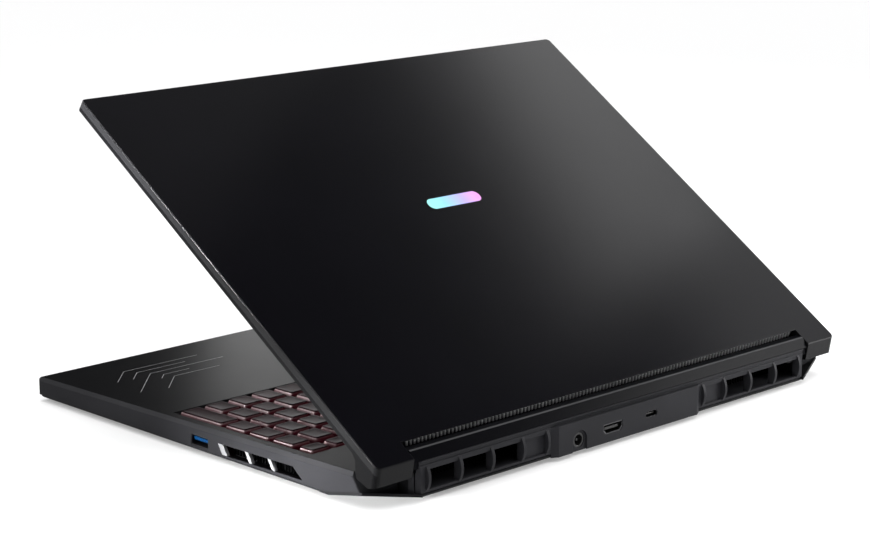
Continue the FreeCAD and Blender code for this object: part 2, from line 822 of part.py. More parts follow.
def lid_cover():
    """The lid's back shell with its two hinge ears and the notch between them."""
    plan = (-half_width, half_width, -lid_front, ear_back)
    shell = rounded_box(*plan, lid_inner, lid_rise, lid_corner_radius)
    top_face = max(shell.Faces, key=lambda face: face.CenterOfMass.z)
    shell = shell.makeChamfer(lid_edge_chamfer, top_face.Edges)
    ear_top = lid_rise - lid_edge_chamfer
    slab = rounded_box(*plan, lid_inner, ear_top, lid_corner_radius)
    slab_top = max(slab.Faces, key=lambda face: face.CenterOfMass.z)
    lean = (ear_heel_back - ear_back) / (ear_top + ear_heel_drop)
    fall = ear_top + ear_depth
    envelope = slab_top.extrude(Vec(0, fall * lean, -fall))
    rear_face = [(-bezel_rear, ear_top), (ear_back, ear_top), (ear_heel_back, -ear_heel_drop)]
    ear = prism_x(rear_face + ear_outline(0)[1:], ear_inner, half_width).common(envelope)
    shell = shell.fuse(ear).fuse(mirrored(ear))
    notch = box(-ear_inner, ear_inner, -lid_notch_front, case_depth, -ear_depth, lid_rise + overcut)
    shell = shell.cut(notch)
    cavity = rounded_box(
        -half_width + lid_rim,
        half_width - lid_rim,
        -lid_front + lid_rim,
        -bezel_rear,
        -ear_depth,
        cavity_top,
        lid_corner_radius - lid_rim,
    )
    ear_room = prism_x(ear_outline(ear_wall), ear_inner + ear_wall, half_width - ear_wall)
    lid_passage = box(
        ear_inner + ear_wall,
        half_width - ear_wall * 3,
        -bezel_rear - overcut,
        ear_back - ear_wall,
        lid_inner,
        cavity_top,
    )
    hollow_plan = (-half_width + ear_wall, half_width - ear_wall, -lid_front, ear_back - ear_wall)
    hollow = rounded_box(*hollow_plan, -ear_depth, lid_rise, lid_corner_radius - ear_wall)
    ear_room = ear_room.common(hollow).fuse(lid_passage)
    pin_room = hinge_pin_radius + hinge_pin_clearance
    pin_hole = rod_x(ear_inner - overcut, ear_inner + ear_wall + overcut, 0, 0, pin_room)
    shell = shell.cut(cavity)
    for cut in (ear_room, pin_hole):
        shell = shell.cut(cut).cut(mirrored(cut))
    shell = shell.cut(emblem_shape(lid_rise + overcut)).cut(trim_shape(overcut))
    return in_lid(shell.removeSplitter())


def emblem_shape(top):
    """A round-ended bar set into the middle of the lid's back."""
    half = emblem_length / 2
    radius = emblem_width / 2
    middle = -(lid_front + ear_back) / 2 - emblem_shift
    low = lid_rise - emblem_depth
    return rounded_box(-half, half, middle - radius, middle + radius, low, top, radius * round_end)


def trim_shape(grow):
    """The strip along the lid's rear edge, between the ears."""
    half = ear_inner - trim_end
    top = lid_rise - trim_drop
    return box(-half, half, -lid_notch_front - trim_depth, -lid_notch_front + grow, top - trim_height, top)


def lid_emblem():
    return in_lid(emblem_shape(lid_rise))


def lid_edge_trim():
    return in_lid(trim_shape(0))


def lid_bezel():
    """The frame round the screen, set into the lid's rim."""
    edge = lid_rim + seat_gap
    frame = rounded_box(
        -half_width + edge,
        half_width - edge,
        -lid_front + edge,
        -bezel_rear - seat_gap,
        lid_inner,
        bezel_back,
        lid_corner_radius - edge,
    )
    through = (lid_inner - overcut, bezel_back + overcut)
    window = box(-screen_half, screen_half, -screen_front, -screen_rear, *through)
    lens = rod_z(*through, 0, webcam_y(), lens_radius + seat_gap)
    return in_lid(frame.cut(window).cut(lens))


def webcam_y():
    """The camera's place in the border above the screen."""
    return -(screen_front + panel_border + lid_front - lid_rim) / 2


def webcam_module():
    """The camera on its narrow board, with the lens in the bezel's hole."""
    y = webcam_y()
    half = webcam_length / 2
    reach = webcam_width / 2
    board = box(-half, half, y - reach, y + reach, bezel_back, bezel_back + webcam_thickness)
    lens = rod_z(lid_inner + seat_gap, bezel_back, 0, y, lens_radius)
    return in_lid(board.fuse(lens))


def display_panel():
    half = screen_half + panel_border
    front = -screen_front - panel_border
    rear = -screen_rear + panel_border
    return in_lid(box(-half, half, front, rear, bezel_back, bezel_back + panel_thickness))


def lid_gasket():
    """The rubber strip round three edges of the bezel, which keeps the shut lid off the deck."""
    out = half_width - gasket_inset
    strip = box(-out, out, -lid_front + gasket_inset, -gasket_rear, lid_inner - gasket_height, lid_inner)
    inside = box(
        -out + gasket_width,
        out - gasket_width,
        -lid_front + gasket_inset + gasket_width,
        0,
        lid_inner - gasket_height - overcut,
        lid_inner + overcut,
    )
    return in_lid(strip.cut(inside))


def keyboard_rows():
    """Keys of the main block from the front row back: the key group, then widths in key units."""
    return [
        [
            ("modifier_keys", [1.25, 1, 1, 1.25]),
            ("space_bar", [5.5]),
            ("modifier_keys", [1, 1]),
            ("left_arrow_key", [1]),
            ("down_arrow_key", [1]),
            ("right_arrow_key", [1]),
        ],
        [("bottom_letter_keys", [2.25] + [1] * 10 + [1.75]), ("up_arrow_key", [1])],
        [("home_letter_keys", [1.75] + [1] * 11), ("enter_key", [2.25])],
        [("top_letter_keys", [1.5] + [1] * 12 + [1.5])],
        [("number_row_keys", [1] * 13), ("backspace_key", [2])],
        [("function_row_keys", [1] * 15)],
    ]


def numpad_rows():
    """Key group of each number pad column, row by row from the front."""
    digits = ["numpad_digit_keys"] * 3
    return [
        digits,
        digits,
        digits + ["numpad_sign_keys"],
        digits + ["numpad_sign_keys"],
        ["numpad_sign_keys"] * 4,
        ["numpad_top_keys"] * 3 + ["power_key"],
    ]


def row_span(row):
    """Front and back of a key in a row of the keyboard."""
    if row == row_count:
        return function_row_y, function_row_y + function_row_depth
    front = first_row_y + row * row_pitch
    return front, front + key_depth


def key_places():
    """Every key as its group and its x and y span on the deck."""
    keys = []
    for row, groups in enumerate(keyboard_rows()):
        x = -key_right
        for group, widths in groups:
            for width in widths:
                keys.append((group, x, x + width * main_unit - key_gap) + row_span(row))
                x += width * main_unit
    for row, groups in enumerate(numpad_rows()):
        for column, group in enumerate(groups):
            x = numpad_left + column * numpad_pitch
            keys.append((group, x, x + numpad_pitch - key_gap) + row_span(row))
    enter_x = key_right - numpad_pitch + key_gap
    keys.append(("numpad_enter_key", enter_x, key_right, row_span(0)[0], row_span(1)[1]))
    return keys


def stem_places(x0, x1, y0, y1):
    """Centres of a key's guide stems: one, or two under a long key."""
    middle_x = (x0 + x1) / 2
    middle_y = (y0 + y1) / 2
    if x1 - x0 < 2 * main_unit - key_gap:
        return [(middle_x, middle_y)]
    quarter = (x1 - x0) / 4
    return [(middle_x - quarter, middle_y), (middle_x + quarter, middle_y)]


def keycap(x0, x1, y0, y1):
    """A key with sloping sides and the square stems that guide it."""
    low = key_top - key_height
    cap = Part.makeWedge(
        x0, low, -y1, -y1 + key_draft, x0 + key_draft, x1, key_top, -y0, -y0 - key_draft, x1 - key_draft
    )
    cap.rotate(Vec(0, 0, 0), X_AXIS, 90)
    half = stem_size / 2
    for x, y in stem_places(x0, x1, y0, y1):
        cap = cap.fuse(box(x - half, x + half, y - half, y + half, stem_bottom, low))
    return cap.removeSplitter()


def key_groups():
    """Keys gathered by group, each group a set of separate keys."""
    groups = {}
    for group, x0, x1, y0, y1 in key_places():
        groups.setdefault(group, []).append(on_deck(keycap(x0, x1, y0, y1)))
    return {name: Part.makeCompound(keys) for name, keys in groups.items()}


def keyboard_plate():
    """The tray under the keys, with a guide hole for each stem, fixed under the deck."""
    front = keyboard_front_y - key_plate_rim
    rear = keyboard_rear_y + key_plate_rim
    tray = box(-plate_half, plate_half, front, rear, membrane_top, -deck_wall)
    window = (-window_half, window_half, keyboard_front_y, keyboard_rear_y)
    upper = box(*window, plate_top, deck_wall)
    lower = box(*window, membrane_top - overcut, plate_bottom)
    tray = tray.cut(upper).cut(lower)
    half = stem_size / 2 + stem_clearance
    holes = []
    for place in key_places():
        for x, y in stem_places(*place[1:]):
            square = (x - half, x + half, y - half, y + half)
            holes.append(box(*square, plate_bottom - overcut, plate_top + overcut))
    return on_deck(tray.cut(Part.makeCompound(holes)))


def switch_membrane():
    front = keyboard_front_y - key_plate_rim
    rear = keyboard_rear_y + key_plate_rim
    return on_deck(box(-plate_half, plate_half, front, rear, membrane_bottom, membrane_top))


def touchpad():
    pad = rounded_box(
        touchpad_x - touchpad_width / 2,
        touchpad_x + touchpad_width / 2,
        touchpad_front_y,
        touchpad_rear_y,
        touchpad_bottom,
        -touchpad_recess,
        touchpad_corner,
    )
    return on_deck(pad)


def touchpad_bracket():
    """The tray under the touchpad, with room for its click."""
    grow = touchpad_gap + touchpad_bracket_border
    x0 = touchpad_x - touchpad_width / 2
    x1 = touchpad_x + touchpad_width / 2
    span = (touchpad_front_y - grow, touchpad_rear_y + grow)
    tray = box(x0 - grow, x1 + grow, *span, bracket_bottom, -deck_wall)
    room = box(
        x0 - touchpad_gap,
        x1 + touchpad_gap,
        touchpad_front_y - touchpad_gap,
        touchpad_rear_y + touchpad_gap,
        bracket_top,
        0,
    )
    return on_deck(tray.cut(room))


def side_vent_ribs():
    """The bright slanted ribs in the side vents."""
    ribs = []
    for place, width in zip(side_rib_places, side_rib_widths):
        outline = side_vent_outline(place, width, side_rib_lean)
        ribs.append(prism_x(outline, half_width - side_wall, half_width - side_rib_inset))
    return Part.makeCompound(ribs + [mirrored(rib) for rib in ribs])


def stadium_y(x, z, width, height, y0, y1, grow):
    """A round-ended slot along Y, `width` across and `height` high, grown all round."""
    radius = height / 2 + grow
    reach = width / 2 - height / 2
    slot = box(x - reach, x + reach, y0, y1, z - radius, z + radius)
    for end in (-reach, reach):
        slot = slot.fuse(rod_y(y0, y1, x + end, z, radius))
    return slot.removeSplitter()


def hdmi_block(y0, y1, grow):
    """A wide port outline with its lower corners cut off, grown all round."""
    half = hdmi_width / 2 + grow
    low = hdmi_rise - hdmi_height / 2 - grow
    high = hdmi_rise + hdmi_height / 2 + grow
    outline = [
        (hdmi_place - half, high),
        (hdmi_place + half, high),
        (hdmi_place + half, low + hdmi_notch),
        (hdmi_place + half - hdmi_notch, low),
        (hdmi_place - half + hdmi_notch, low),
        (hdmi_place - half, low + hdmi_notch),
    ]
    return prism_y(outline, y0, y1)


def usb_a_ports():
    """Metal shells of the side USB ports."""
    mouth = box(half_width - port_face, half_width + overcut, front_y, rear_y, 0, case_depth)
    shell = usb_block(usb_depth, 0).cut(mouth)
    return both_sides(shell.cut(usb_block(usb_depth - port_wall * 2, -port_wall)))


def usb_a_tongues():
    """The plastic tongues inside the side USB ports, each against its shell's roof side."""
    room = usb_block(usb_depth - port_wall * 2, -port_wall).BoundBox
    middle = (room.YMin + room.YMax) / 2
    tongue = box(
        room.XMin,
        half_width - usb_tongue_setback,
        middle - usb_tongue_width / 2,
        middle + usb_tongue_width / 2,
        room.ZMax - usb_tongue_drop - usb_tongue_height,
        room.ZMax - usb_tongue_drop,
    )
    return both_sides(tongue)


def hdmi_port():
    face = rear_y - port_face
    shell = hdmi_block(face - hdmi_depth, face, 0)
    return shell.cut(hdmi_block(face - hdmi_depth + port_back, face + overcut, -port_wall * 2))


def usb_c_port():
    face = rear_y - port_face
    back = face - usb_c_depth
    shell = stadium_y(*usb_c_size, back, face, 0)
    return shell.cut(stadium_y(*usb_c_size, back + port_back, face + overcut, -port_wall))


def port_tongues():
    """Contact tongues of the HDMI-type and USB-C ports."""
    wide = tongue(hdmi_place, hdmi_rise, hdmi_width * tongue_share, tongue_thickness, hdmi_depth)
    usb_c_tongue = usb_c_width * tongue_share
    narrow = tongue(usb_c_place, usb_c_rise, usb_c_tongue, usb_c_tongue_thickness, usb_c_depth)
    return Part.makeCompound([wide, narrow])


def tongue(x, z, width, thickness, depth):
    """One flat tongue standing on the back wall of a rear port."""
    face = rear_y - port_face
    side = width / 2
    half = thickness / 2
    return box(x - side, x + side, face - depth + port_back, face - usb_tongue_setback, z - half, z + half)


def dc_jack():
    """The round power inlet."""
    face = rear_y - dc_pocket_depth - port_face
    barrel = rod_y(face - dc_depth, face, dc_place, dc_rise, dc_outer_radius)
    return barrel.cut(rod_y(face - dc_depth + port_back, face + overcut, dc_place, dc_rise, dc_bore_radius))


def dc_jack_pin():
    face = rear_y - dc_pocket_depth - port_face
    return rod_y(face - dc_depth + port_back, face - usb_tongue_setback, dc_place, dc_rise, dc_pin_radius)


def audio_jack():
    """The headphone socket in the left side."""
    y, z = audio_middle()
    half = audio_block / 2
    inner = -half_width + side_wall
    body = box(inner, inner + audio_depth, y - half, y + half, z - half, z + half)
    collar = rod_x(-half_width + port_face, inner + overcut, y, z, audio_radius)
    bore = rod_x(-half_width - overcut, inner + audio_depth - port_back, y, z, audio_bore_radius)
    return body.fuse(collar).cut(bore)


def rubber_feet():
    """Two short strips in front and a long one behind."""
    feet = []
    for side in (-1, 1):
        x = side * (half_width - front_foot_side)
        y = front_y + front_foot_margin
        feet.append(foot(x, y, front_foot_length, front_foot_width))
    feet.append(foot(0, rear_y - rear_foot_margin, rear_foot_length, rear_foot_width))
    return Part.makeCompound(feet)


def foot(x, y, length, width):
    """One foot with a slightly narrower sole."""
    reach = length / 2
    half = width / 2
    shape = rounded_box(x - reach, x + reach, y - half, y + half, 0, foot_height, width * foot_rounding)
    sole = [edge for edge in shape.Edges if edge.BoundBox.ZMax < foot_height / 2]
    return shape.makeChamfer(foot_height / 4, sole)


def screw(x, y, seat, tip):
    """A screw pointing up, its flat head under `seat`, with a cross slot in the head."""
    low = seat - screw_head_height
    shape = rod_z(low, seat, x, y, screw_head_radius)
    shape = shape.fuse(rod_z(low, tip, x, y, screw_shank_radius))
    arm = screw_head_radius * screw_slot_share
    half = screw_slot_width / 2
    deep = low + screw_head_height / 2
    shape = shape.cut(box(x - arm, x + arm, y - half, y + half, low - overcut, deep))
    shape = shape.cut(box(x - half, x + half, y - arm, y + arm, low - overcut, deep))
    return shape.removeSplitter()


def bottom_screws():
    """Screws that hold the bottom cover, their heads sunk in it."""
    seat = foot_height + screw_recess + screw_head_height
    return Part.makeCompound([screw(x, y, seat, seam_z + screw_length) for x, y in screw_places()])


def fan_top():
    """Upper face of the fans, just under the keyboard."""
    return under_keyboard_z(fan_y - fan_half) - stack_clearance


def fan_housings():
    """Two blower housings, open below to the intake and behind and outwards to the fins."""
    high = fan_top()
    cavity_low = floor_z + fan_wall
    cavity_high = high - fan_wall
    case = box(fan_x - fan_half, fan_x + fan_half, fan_y - fan_half, fan_y + fan_half, floor_z, high)
    room = rod_z(cavity_low, cavity_high, fan_x, fan_y, fan_radius + fan_tip_clearance)
    out = fan_half + overcut
    height = (cavity_low, cavity_high)
    rear_mouth = box(fan_x - fan_radius, fan_x + fan_radius, fan_y, fan_y + out, *height)
    side_mouth = box(fan_x, fan_x + out, fan_y - fan_hub_radius, fan_y + fan_radius, *height)
    inlet = rod_z(floor_z - overcut, cavity_low + overcut, fan_x, fan_y, fan_inlet_radius)
    case = case.cut(room).cut(rear_mouth).cut(side_mouth).cut(inlet)
    axle = rod_z(cavity_low + fan_axial_clearance, high, fan_x, fan_y, fan_axle_radius)
    return both_sides(case.fuse(axle).removeSplitter())


def fan_rotor():
    """The right fan's bladed wheel, bored for its axle."""
    low = floor_z + fan_wall + fan_axial_clearance
    high = fan_top() - fan_wall - fan_axial_clearance
    rotor = rod_z(low, high, 0, 0, fan_hub_radius)
    blades = []
    for index in range(fan_blades):
        half = fan_blade_thickness / 2
        blade = box(fan_blade_root, fan_radius, -half, half, low, high)
        blade.rotate(Vec(fan_blade_root, 0, 0), Z_AXIS, fan_blade_sweep)
        blade.rotate(Vec(0, 0, 0), Z_AXIS, 360.0 * index / fan_blades)
        blades.append(blade)
    rotor = rotor.multiFuse(blades)
    rotor = rotor.common(rod_z(low, high, 0, 0, fan_radius))
    rotor = rotor.cut(rod_z(low - overcut, high + overcut, 0, 0, fan_axle_radius + fan_axle_clearance))
    rotor.translate(Vec(fan_x, fan_y, 0))
    return rotor.removeSplitter()


def fin_row(x0, x1, y0, y1, z0, z1, along_x):
    """A stack of thin upright fins on a base plate."""
    stack = box(x0, x1, y0, y1, z0, z0 + fin_base)
    start, end = (x0, x1) if along_x else (y0, y1)
    fins = []
    for index in range(int((end - start - fin_thickness) / fin_pitch) + 1):
        place = start + index * fin_pitch
        if along_x:
            fins.append(box(place, place + fin_thickness, y0, y1, z0, z1))
        else:
            fins.append(box(x0, x1, place, place + fin_thickness, z0, z1))
    return stack.multiFuse(fins).removeSplitter()


def fin_stacks():
    """Fin stacks behind the rear exhausts and beside the side vents."""
    ribs = rib_places()
    rear_end = rear_fin_front_y + rear_fin_depth
    rear_top = hinge_foot_top() - hinge_foot_thickness - screw_head_height - stack_clearance
    rear = fin_row(ribs[-2], ribs[0], rear_fin_front_y, rear_end, floor_z, rear_top, True)
    outer = half_width - side_wall - side_fin_gap
    y1 = deck_rear_y - side_vent_rear
    y0 = y1 - side_vent_length + side_vent_lean
    high = under_keyboard_z(y0) - stack_clearance
    side = fin_row(outer - side_fin_depth, outer, y0, y1, floor_z, high, False)
    return Part.makeCompound([rear, mirrored(rear), side, mirrored(side)])


def heat_pipes():
    """Flat heat pipes from the two chips to the rear fins."""
    high = pipe_z + heat_pipe_thickness
    reach = rib_places()[0]
    leg_end = rear_fin_front_y - heat_pipe_width
    pipes = box(-reach, reach, leg_end, rear_fin_front_y, pipe_z, high)
    for side in (-1, 1):
        x = side * chip_spread / 2
        half = heat_pipe_leg / 2
        leg = box(x - half, x + half, chip_y - chip_size / 2, leg_end, pipe_z, high)
        pipes = pipes.fuse(leg)
    return pipes.removeSplitter()


def processor_chips():
    """The main processor and the graphics chip under the heat pipes."""
    half = chip_size / 2
    x = chip_spread / 2
    chip = box(x - half, x + half, chip_y - half, chip_y + half, board_top, pipe_z)
    return both_sides(chip.makeChamfer(chip_thickness / 3, chip.Faces[5].Edges))


def motherboard():
    """The main board between the fans, with a tongue back to the rear ports."""
    main_rear = rear_fin_front_y - board_side_gap
    main = box(-board_half, board_half, board_front_y, main_rear, board_z, board_top)
    tongue = box(
        board_tongue_left, board_tongue_right, board_front_y, housing_front_y - seat_gap, board_z, board_top
    )
    return main.fuse(tongue).removeSplitter()


def board_module(x, y, length, width):
    """A plug-in card lying over the board, with its edge connector step."""
    card = box(x, x + length, y, y + width, board_top, board_top + module_thickness / 2)
    margin = memory_margin
    inside = (x + margin, x + length - margin, y + margin, y + width - margin)
    return card.fuse(box(*inside, board_top, board_top + module_thickness))


def memory_modules():
    """Two memory sticks side by side at the front of the board."""
    step = memory_length + seat_gap
    first = board_module(-step, board_front_y + seat_gap, memory_length, memory_width)
    second = board_module(seat_gap, board_front_y + seat_gap, memory_length, memory_width)
    return Part.makeCompound([first, second])


def side_module(x, length):
    """A card on its own standoff beside the board."""
    y0 = board_front_y + seat_gap
    card = box(x, x + length, y0, y0 + module_width, floor_z, floor_z + module_thickness)
    return card.makeChamfer(module_thickness / 4, card.Faces[5].Edges)


def ssd_module():
    return side_module(board_half + board_side_gap, module_length)


def wifi_card():
    return side_module(-board_half - board_side_gap - card_length, card_length)


def battery_pack():
    """A flat pack of cells under the palm rest, with grooves between the cells."""
    y0 = front_y + side_wall + battery_clearance + boss_wall * 2 + screw_shank_radius * 2
    y1 = keyboard_front_y - key_plate_rim - battery_clearance
    half = battery_length / 2
    high = deck_z(y0) + bracket_bottom - battery_roof_gap
    pack = box(-half, half, y0, y1, floor_z, high)
    for cell in range(1, battery_cells):
        x = -half + battery_length * cell / battery_cells
        across = (x - cell_groove / 2, x + cell_groove / 2, y0 - overcut, y1 + overcut)
        pack = pack.cut(box(*across, high - cell_groove, high + overcut))
    return pack


def speakers():
    """Speaker boxes in the front corners, each with a round driver."""
    x1 = half_width - side_wall - battery_clearance
    x0 = x1 - speaker_width
    y0 = front_y + front_foot_margin
    can = rounded_box(x0, x1, y0, y0 + speaker_length, floor_z, floor_z + speaker_height, speaker_corner)
    middle = ((x0 + x1) / 2, y0 + speaker_length / 3)
    driver = rod_z(floor_z - overcut, floor_z + speaker_height / 4, *middle, speaker_driver_radius)
    return both_sides(can.cut(driver))


def nodes():
    """Every piece by its node name."""
    rotor = fan_rotor()
    pieces = {
        "top_case": top_case(),
        "bottom_cover": bottom_cover(),
        "rear_housing": rear_housing(),
        "hinge_cover": hinge_cover(),
        "hinge_brackets": hinge_brackets(),
        "hinge_screws": hinge_screws(),
        "side_vent_ribs": side_vent_ribs(),
        "rubber_feet": rubber_feet(),
        "bottom_screws": bottom_screws(),
        "keyboard_plate": keyboard_plate(),
        "switch_membrane": switch_membrane(),
        "touchpad": touchpad(),
        "touchpad_bracket": touchpad_bracket(),
        "motherboard": motherboard(),
        "processor_chips": processor_chips(),
        "heat_pipes": heat_pipes(),
        "fin_stacks": fin_stacks(),
        "fan_housings": fan_housings(),
        "right_fan_rotor": rotor,
        "left_fan_rotor": mirrored(rotor),
        "memory_modules": memory_modules(),
        "ssd_module": ssd_module(),
        "wifi_card": wifi_card(),
        "battery_pack": battery_pack(),
        "speakers": speakers(),
        "usb_a_ports": usb_a_ports(),
        "usb_a_tongues": usb_a_tongues(),
        "hdmi_port": hdmi_port(),
        "usb_c_port": usb_c_port(),
        "port_tongues": port_tongues(),
        "dc_jack": dc_jack(),
        "dc_jack_pin": dc_jack_pin(),
        "audio_jack": audio_jack(),
        "lid_cover": lid_cover(),
        "lid_bezel": lid_bezel(),
        "display_panel": display_panel(),
        "webcam_module": webcam_module(),
        "lid_gasket": lid_gasket(),
        "lid_emblem": lid_emblem(),
        "lid_edge_trim": lid_edge_trim(),
        "lid_hinge_arms": lid_hinge_arms(),
    }
    pieces.update(key_groups())
    return pieces


os.makedirs("parts", exist_ok=True)
for name, shape in nodes().items():
    shape.exportStep("parts/" + name + ".step")
    print(name, len(shape.Solids), "solids", round(shape.Volume), "mm3", shape.isValid())
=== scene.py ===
# %% [markdown]
# # A laptop computer with its lid part open
# The measured model arrives as a fixed frame: every plate, key and hinge already has its size and place.
# This lesson dresses it. Finishes are made of shader nodes, and the pieces that a real maker rounds, dishes
# or knurls are built again as meshes on the same places. Lengths are in metres, +X is the user's right, +Y
# is the hinge side and +Z is up.

import json
import math

import bmesh
import bpy
from mathutils import Matrix, Vector


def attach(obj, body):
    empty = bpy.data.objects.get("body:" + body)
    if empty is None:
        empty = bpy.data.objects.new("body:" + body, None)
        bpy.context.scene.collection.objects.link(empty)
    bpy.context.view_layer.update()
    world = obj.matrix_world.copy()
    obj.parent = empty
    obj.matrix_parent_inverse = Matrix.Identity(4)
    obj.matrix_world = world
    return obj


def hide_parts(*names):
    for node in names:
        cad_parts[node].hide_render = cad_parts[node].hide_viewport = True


MM = 0.001

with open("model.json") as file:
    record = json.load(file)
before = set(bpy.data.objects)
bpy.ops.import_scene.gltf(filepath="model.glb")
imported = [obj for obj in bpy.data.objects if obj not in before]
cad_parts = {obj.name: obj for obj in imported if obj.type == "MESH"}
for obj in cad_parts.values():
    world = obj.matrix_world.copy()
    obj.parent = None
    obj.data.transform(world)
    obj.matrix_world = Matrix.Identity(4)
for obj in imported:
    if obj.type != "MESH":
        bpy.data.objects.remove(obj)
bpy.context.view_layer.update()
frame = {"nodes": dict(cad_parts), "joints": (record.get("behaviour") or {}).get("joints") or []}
nodes = frame["nodes"]
joints = {joint["name"]: joint for joint in frame["joints"]}
scene = bpy.context.scene
scene.view_settings.view_transform = "Standard"

# %% [markdown]
# ## The camera
# A long lens from behind the right-hand corner, a little above the desk, looks down on the lid's back. The
# direction is written as an angle round the object and a height above the horizon, because those two
# numbers are easy to compare with a picture. The last two values slide the view sideways and up.

# %% Camera
CAMERA_ROUND = math.radians(135.71)
CAMERA_ABOVE = math.radians(12.96)
CAMERA_DISTANCE = 1.32393
CAMERA_SLIDE = -0.00521
CAMERA_LIFT = 0.06682
LENS = 96.4
SENSOR_WIDTH = 36

right = Vector((math.cos(CAMERA_ROUND), math.sin(CAMERA_ROUND), 0))
flat = math.cos(CAMERA_ABOVE)
back = Vector((math.sin(CAMERA_ROUND) * flat, -math.cos(CAMERA_ROUND) * flat, math.sin(CAMERA_ABOVE)))
upward = back.cross(right)
lens = bpy.data.cameras.new("camera")
lens.lens = LENS
lens.sensor_width = SENSOR_WIDTH
camera = bpy.data.objects.new("camera", lens)
camera.location = back * CAMERA_DISTANCE + right * CAMERA_SLIDE + upward * CAMERA_LIFT
camera.rotation_euler = Matrix((right, upward, back)).transposed().to_euler()
scene.collection.objects.link(camera)
scene.camera = camera
print("camera at", [round(v, 3) for v in camera.location])


# %% [markdown]
# ## Shader nodes by name
# Each finish below is a small graph. Nodes could be placed by hand in the shader editor, but in code they
# are easier to read and to repeat. These helpers add a node, fill or join its sockets, and start a
# material.

# %% Node helpers
def plug(tree, value, socket):
    """Joins a socket to another one, or sets it to a plain value."""
    if isinstance(value, bpy.types.NodeSocket):
        tree.links.new(value, socket)
    else:
        socket.default_value = value


def add(tree, kind, **inputs):
    """A new node whose sockets are filled by name."""
    node = tree.nodes.new("ShaderNode" + kind)
    for name, value in inputs.items():
        plug(tree, value, node.inputs[name.replace("_", " ")])
    return node


def work_out(tree, operation, *values):
    """The result of a Math node for some numbers or sockets."""
    node = add(tree, "Math")
    node.operation = operation
    for socket, value in zip(node.inputs, values):
        plug(tree, value, socket)
    return node.outputs["Value"]


def new_finish(name):
    """A material with a main shader, ready for its details."""
    finish = bpy.data.materials.new(name)
    finish.use_nodes = True
    return finish, finish.node_tree, finish.node_tree.nodes["Principled BSDF"]


print("node helpers ready")


# %% [markdown]
# ## Clouds, colours and grain
# No real surface has one colour and one gloss. Noise gives soft clouds of any size, a ramp turns a cloud
# into colours, and a finer cloud makes the grain that the light catches. Most of a noise lies between 0.3
# and 0.7, so colours and roughness are stretched over that range.

# %% Clouds, colours and grain
CLOUD_LOW, CLOUD_HIGH = 0.3, 0.7
GLOSS_PATCH = 30 * MM
GRAIN_STRENGTH = 0.5


def noise(tree, size, detail=2.0):
    """Cloudy values whose lumps are about `size` metres across."""
    place = add(tree, "TexCoord").outputs["Object"]
    return add(tree, "TexNoise", Vector=place, Scale=1 / size, Detail=detail).outputs["Fac"]


def ramp(tree, value, *stops):
    """Colours blended along a value; each stop is a place from 0 to 1 and a colour."""
    node = add(tree, "ValToRGB", Fac=value)
    marks = node.color_ramp.elements
    while len(marks) < len(stops):
        marks.new(0.5)
    for mark, (place, colour) in zip(marks, stops):
        mark.position = place
        mark.color = (*colour, 1)
    return node.outputs["Color"]


def cloudy(tree, value, dark, pale):
    """A colour that wanders from dark to pale with a cloud."""
    return ramp(tree, value, (CLOUD_LOW, dark), (CLOUD_HIGH, pale))


def shade(colour, share):
    """A colour made darker or paler."""
    return tuple(channel * share for channel in colour)


def wander(middle, share):
    """The two ends of a range that runs a share below and above its middle."""
    return middle * (1 - share), middle * (1 + share)


def surface(tree, shader, tone, gloss, grain, depth, rounded=None):
    """Joins a colour, a roughness that wanders between two values and a fine bump to the main shader."""
    tree.links.new(tone, shader.inputs["Base Color"])
    low, high = gloss
    patches = noise(tree, GLOSS_PATCH, 3.0)
    rough = add(tree, "MapRange", Value=patches, From_Min=CLOUD_LOW, From_Max=CLOUD_HIGH,
                To_Min=low, To_Max=high)
    tree.links.new(rough.outputs["Result"], shader.inputs["Roughness"])
    bump = add(tree, "Bump", Height=noise(tree, grain), Distance=depth, Strength=GRAIN_STRENGTH)
    if rounded:
        tree.links.new(rounded, bump.inputs["Normal"])
    tree.links.new(bump.outputs["Normal"], shader.inputs["Normal"])


print("finish helpers ready")

# %% [markdown]
# ## Paper floor and backdrop
# The laptop stands on white studio paper that runs far out and turns up at its edges. Lamps alone could
# make it white, but they would wash out a black object. So the paper shows a share of plain white to the
# camera, to gloss and to glass, and takes the rest of its tone from the lamps, which keeps the soft shadow
# under the case.

# %% Floor and backdrop
FLOOR_REACH = 14.0
FLOOR_GLOW = 0.3
BACKDROP_HEIGHT = 1.0
BACKDROP_GLOW = 1.0
PAPER_WHITE = (0.98, 0.98, 0.98, 1)


def paper(name, corners, faces, own_glow):
    """White studio paper; own_glow is the share of its tone that doesn't depend on the lamps."""
    mesh = bpy.data.meshes.new(name)
    mesh.from_pydata(corners, [], faces)
    sheet = bpy.data.objects.new(name, mesh)
    scene.collection.objects.link(sheet)
    finish, tree, shader = new_finish(name + "_paper")
    shader.inputs["Base Color"].default_value = PAPER_WHITE
    shader.inputs["Roughness"].default_value = 0.9
    shader.inputs["Specular IOR Level"].default_value = 0.1
    rays = add(tree, "LightPath").outputs
    seen = rays["Is Camera Ray"]
    for kind in ("Is Glossy Ray", "Is Transmission Ray"):
        seen = work_out(tree, "MAXIMUM", seen, rays[kind])
    glow = add(tree, "Emission", Color=(1, 1, 1, 1), Strength=1.0)
    mix = add(tree, "MixShader", Fac=work_out(tree, "MULTIPLY", seen, own_glow))
    tree.links.new(shader.outputs["BSDF"], mix.inputs[1])
    tree.links.new(glow.outputs["Emission"], mix.inputs[2])
    tree.links.new(mix.outputs["Shader"], tree.nodes["Material Output"].inputs["Surface"])
    mesh.materials.append(finish)


